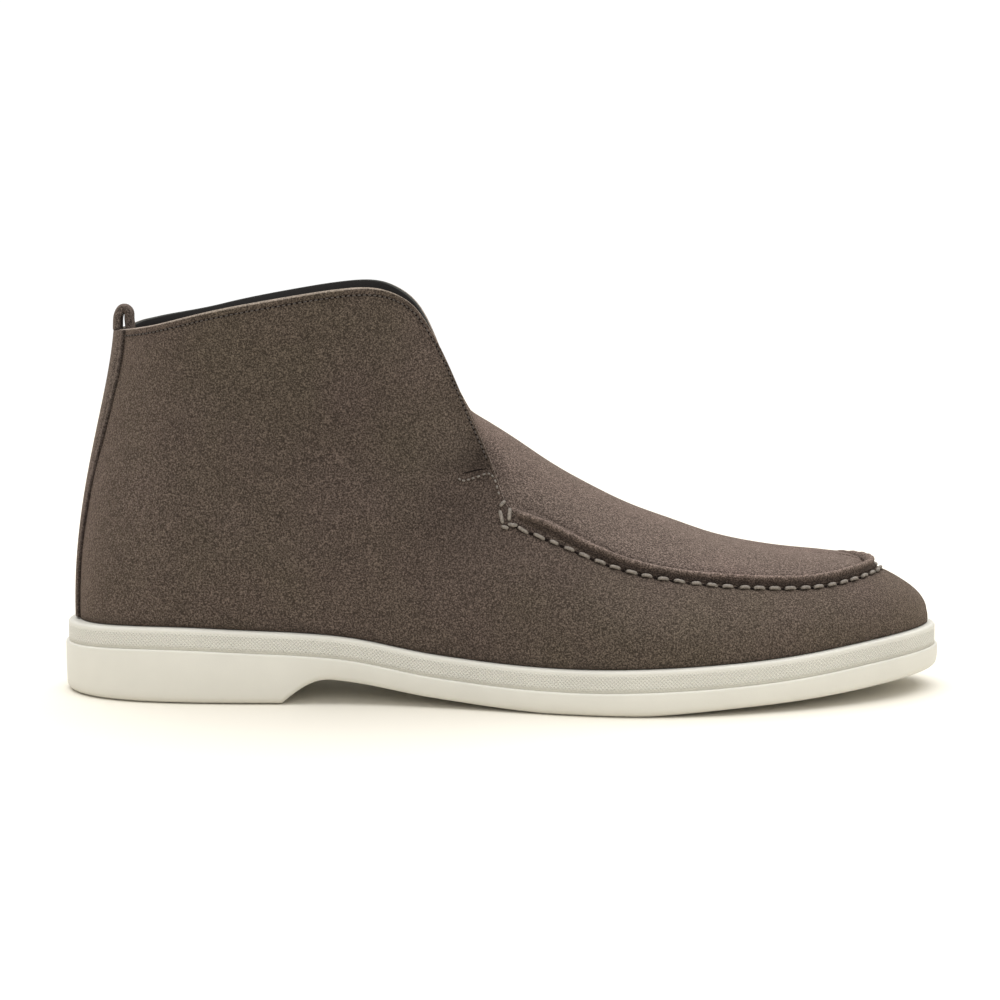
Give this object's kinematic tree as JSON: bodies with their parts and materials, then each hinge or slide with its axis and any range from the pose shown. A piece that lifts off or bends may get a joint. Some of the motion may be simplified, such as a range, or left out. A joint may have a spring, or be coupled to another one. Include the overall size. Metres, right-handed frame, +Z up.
{
  "type": "high moccasin loafer",
  "caption": "Right high-cut suede loafer with a sewn moccasin apron, open-fronted collar, heel strip with pull loop and a low white rubber sole.",
  "frame": {"origin": "on the floor under the middle of the shoe's box", "axes": "+X towards the toe, +Y towards the inner side of the foot, +Z up"},
  "size_m": [0.303, 0.1052, 0.1391],
  "materials": {
    "outsole_rubber": "smooth, matt off-white",
    "midsole_rubber": "fine diamond texture, matt off-white",
    "insole_leather": "smooth, dark grey",
    "upper_suede": "suede nap, taupe brown",
    "apron_suede": "suede nap, taupe brown",
    "trim_suede": "suede nap, taupe brown"
  },
  "bodies": {
    "root": {"outsole": "outsole_rubber", "midsole": "midsole_rubber", "insole": "insole_leather", "upper": "upper_suede", "apron": "apron_suede", "heel_strip": "trim_suede", "pull_loop": "trim_suede"}
  },
  "joints": []
}
